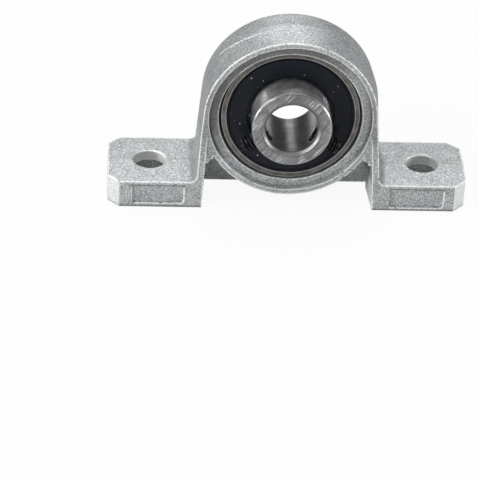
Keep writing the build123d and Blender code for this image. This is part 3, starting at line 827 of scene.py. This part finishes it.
# %% Make the set screws
SCREW_POINT, SCREW_LENGTH = 5.1 * MM, 3.0 * MM
CREST_RADIUS, ROOT_RADIUS = 1.27 * MM, 1.00 * MM
POINT_CHAMFER, END_CHAMFER = 0.45 * MM, 0.12 * MM
CREST_FLAT, FLANK_SHARE = 0.12, 0.76     # of half a turn of the ridge
SOCKET_APOTHEM, SOCKET_DEPTH = 0.75 * MM, 1.5 * MM
DRILL_DEPTH = 1.15 * SOCKET_DEPTH        # to the point that the drill left in the socket
ROUND_STEPS, PITCH_STEPS = 48, 10


def thread_radius(height, turn):
    """The ridge at this height above the screw's point, in the direction turn (0 to 1)."""
    across = abs((height / THREAD_PITCH - turn) % 1.0 - 0.5) * 2     # 0 at a crest, 1 at a root
    flank = min(max((across - CREST_FLAT) / FLANK_SHARE, 0.0), 1.0)
    ridge = CREST_RADIUS - (CREST_RADIUS - ROOT_RADIUS) * flank
    cone = CREST_RADIUS - POINT_CHAMFER + height
    end = CREST_RADIUS - END_CHAMFER + (SCREW_LENGTH - height)
    return min(ridge, cone, end)


def socket_radius(turn):
    """How far the hexagon's wall is from the axis in this direction."""
    sixth = (turn * 6.0) % 1.0 - 0.5
    return SOCKET_APOTHEM / math.cos(math.radians(60) * sixth)


def make_screw(name, body, along):
    """A threaded screw on this body, which points away from the shaft's axis."""
    along = along.normalized()
    middle = INSERT_MIDDLE + SHAFT_WAY * SCREW_ALONG_SHAFT
    side = SHAFT_WAY.cross(along).normalized()
    other = along.cross(side)
    rows = round(SCREW_LENGTH / THREAD_PITCH * PITCH_STEPS)
    rings = []
    for row in range(rows + 1):
        height = SCREW_LENGTH * row / rows
        rings.append([(height, thread_radius(height, step / ROUND_STEPS))
                      for step in range(ROUND_STEPS)])
    for depth in (0.0, SOCKET_DEPTH):
        rings.append([(SCREW_LENGTH - depth, socket_radius(step / ROUND_STEPS))
                      for step in range(ROUND_STEPS)])
    points, faces = [], []
    for ring in rings:
        for step, (height, radius) in enumerate(ring):
            turn = 2 * math.pi * step / ROUND_STEPS
            points.append(middle + along * (SCREW_POINT + height)
                          + (side * math.cos(turn) + other * math.sin(turn)) * radius)
    for row in range(len(rings) - 1):
        for step in range(ROUND_STEPS):
            first, second = row * ROUND_STEPS + step, row * ROUND_STEPS + (step + 1) % ROUND_STEPS
            faces.append((first, second, second + ROUND_STEPS, first + ROUND_STEPS))
    ends = ((0, SCREW_POINT, True),
            (len(rings) - 1, SCREW_POINT + SCREW_LENGTH - DRILL_DEPTH, False))
    for row, distance, turned in ends:
        points.append(middle + along * distance)
        for step in range(ROUND_STEPS):
            first, second = row * ROUND_STEPS + step, row * ROUND_STEPS + (step + 1) % ROUND_STEPS
            faces.append((second, first, len(points) - 1) if turned
                         else (first, second, len(points) - 1))
    mesh = bpy.data.meshes.new(name)
    mesh.from_pydata(points, [], faces)
    mesh.validate()
    screw = bpy.data.objects.new(name, mesh)
    bpy.context.collection.objects.link(screw)
    screw_steel.cover(screw)
    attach(screw, body)
    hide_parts(body)
    return screw


for side in ("left", "right"):
    joint = next(j for j in frame["joints"] if j["name"] == "set_screw_" + side + "_travel")
    screw = make_screw("threaded_screw_" + side, "set_screw_" + side, Vector(joint["axis"]))
    print(screw.name, len(screw.data.polygons), "faces")

# %% [markdown]
# ## Flash on the parting line
#
# Where the two halves of the die meet, a little zinc creeps between them.  Most of it breaks off
# in the tumbler, and what stays is a low uneven ridge that wanders over the top of the head.  It
# is made as a thin strip with a ridge along its middle, whose height and way come from smooth
# noise, and its edges are sunk a little into the casting.

# %% Make the flash
# (direction in degrees, millimetres behind the parting plane)
FLASH_PATH = [(146, 0.5), (141, 0.2), (132, -0.6), (115, -1.1), (93, -1.3), (75, -0.4), (59, 0.9),
              (50, 1.1)]
# (how far across, how high), both as shares
FLASH_RIDGE = [(-1, 0.0), (-0.35, 0.8), (0.1, 1.0), (0.5, 0.55), (1, 0.0)]
HEAD_DRAFT = math.tan(math.radians(4.3))
FLASH_STEPS, FLASH_HALF_WIDTH, FLASH_HEIGHT, FLASH_SUNK = 320, 0.10, 0.07, 0.04
FLASH_WANDER = 0.20     # how far it strays from its path
FLASH_TAPER = 12        # the steps over which each end sinks in
FLASH_FAINT = 0.3       # how much of its height is left towards the right
FAINT_FROM, FAINT_OVER = 95, 20     # degrees


def flash_offset(angle):
    """How far behind the parting plane the flash lies in this direction."""
    for (high, first), (low, second) in zip(FLASH_PATH, FLASH_PATH[1:]):
        if low <= angle <= high:
            share = (high - angle) / (high - low)
            return first + (second - first) * (3 - 2 * share) * share * share
    return FLASH_PATH[-1][1]


def make_flash():
    """A strip with a ridge along its middle, riding on the housing."""
    lanes = len(FLASH_RIDGE)
    points, faces = [], []
    first, last = FLASH_PATH[0][0], FLASH_PATH[-1][0]
    for step in range(FLASH_STEPS + 1):
        angle = first + (last - first) * step / FLASH_STEPS
        wander = noise.noise(Vector((angle * 1.3, 3.0, 0.0))) * FLASH_WANDER
        rise = max(0.0, 0.65 + noise.noise(Vector((angle * 1.9, 9.0, 0.0))) * 2.0)
        shown = min(max((angle - FAINT_FROM) / FAINT_OVER, 0.0), 1.0)
        rise *= FLASH_FAINT + (1 - FLASH_FAINT) * shown
        taper = min(1.0, step / FLASH_TAPER, (FLASH_STEPS - step) / FLASH_TAPER)
        middle = flash_offset(angle) + wander
        for across, height in FLASH_RIDGE:
            y = middle + across * FLASH_HALF_WIDTH * (0.6 + 0.5 * rise)
            radius = HEAD_RADIUS - HEAD_DRAFT * abs(y) - FLASH_SUNK
            radius += (FLASH_HEIGHT * rise + FLASH_SUNK) * height * taper
            turn = math.radians(angle)
            points.append(Vector((radius * math.cos(turn), y,
                                  HEAD_HEIGHT + radius * math.sin(turn))) * MM)
    for step in range(FLASH_STEPS):
        for lane in range(lanes):
            low = step * lanes + lane
            side = step * lanes + (lane + 1) % lanes
            faces.append((low, side, side + lanes, low + lanes))
    last_row = FLASH_STEPS * lanes
    faces += [tuple(reversed(range(lanes))), tuple(range(last_row, last_row + lanes))]
    mesh = bpy.data.meshes.new("flash_ridge")
    mesh.from_pydata(points, [], faces)
    mesh.validate()
    flash = bpy.data.objects.new("flash_ridge", mesh)
    bpy.context.collection.objects.link(flash)
    flash_zinc = make_zinc("flash_zinc", seam_line=0.0, wear_and_highlight=0.8)
    flash_zinc.cover(flash)
    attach(flash, "housing")
    return flash


flash = make_flash()
print("flash ridge:", len(flash.data.polygons), "faces")
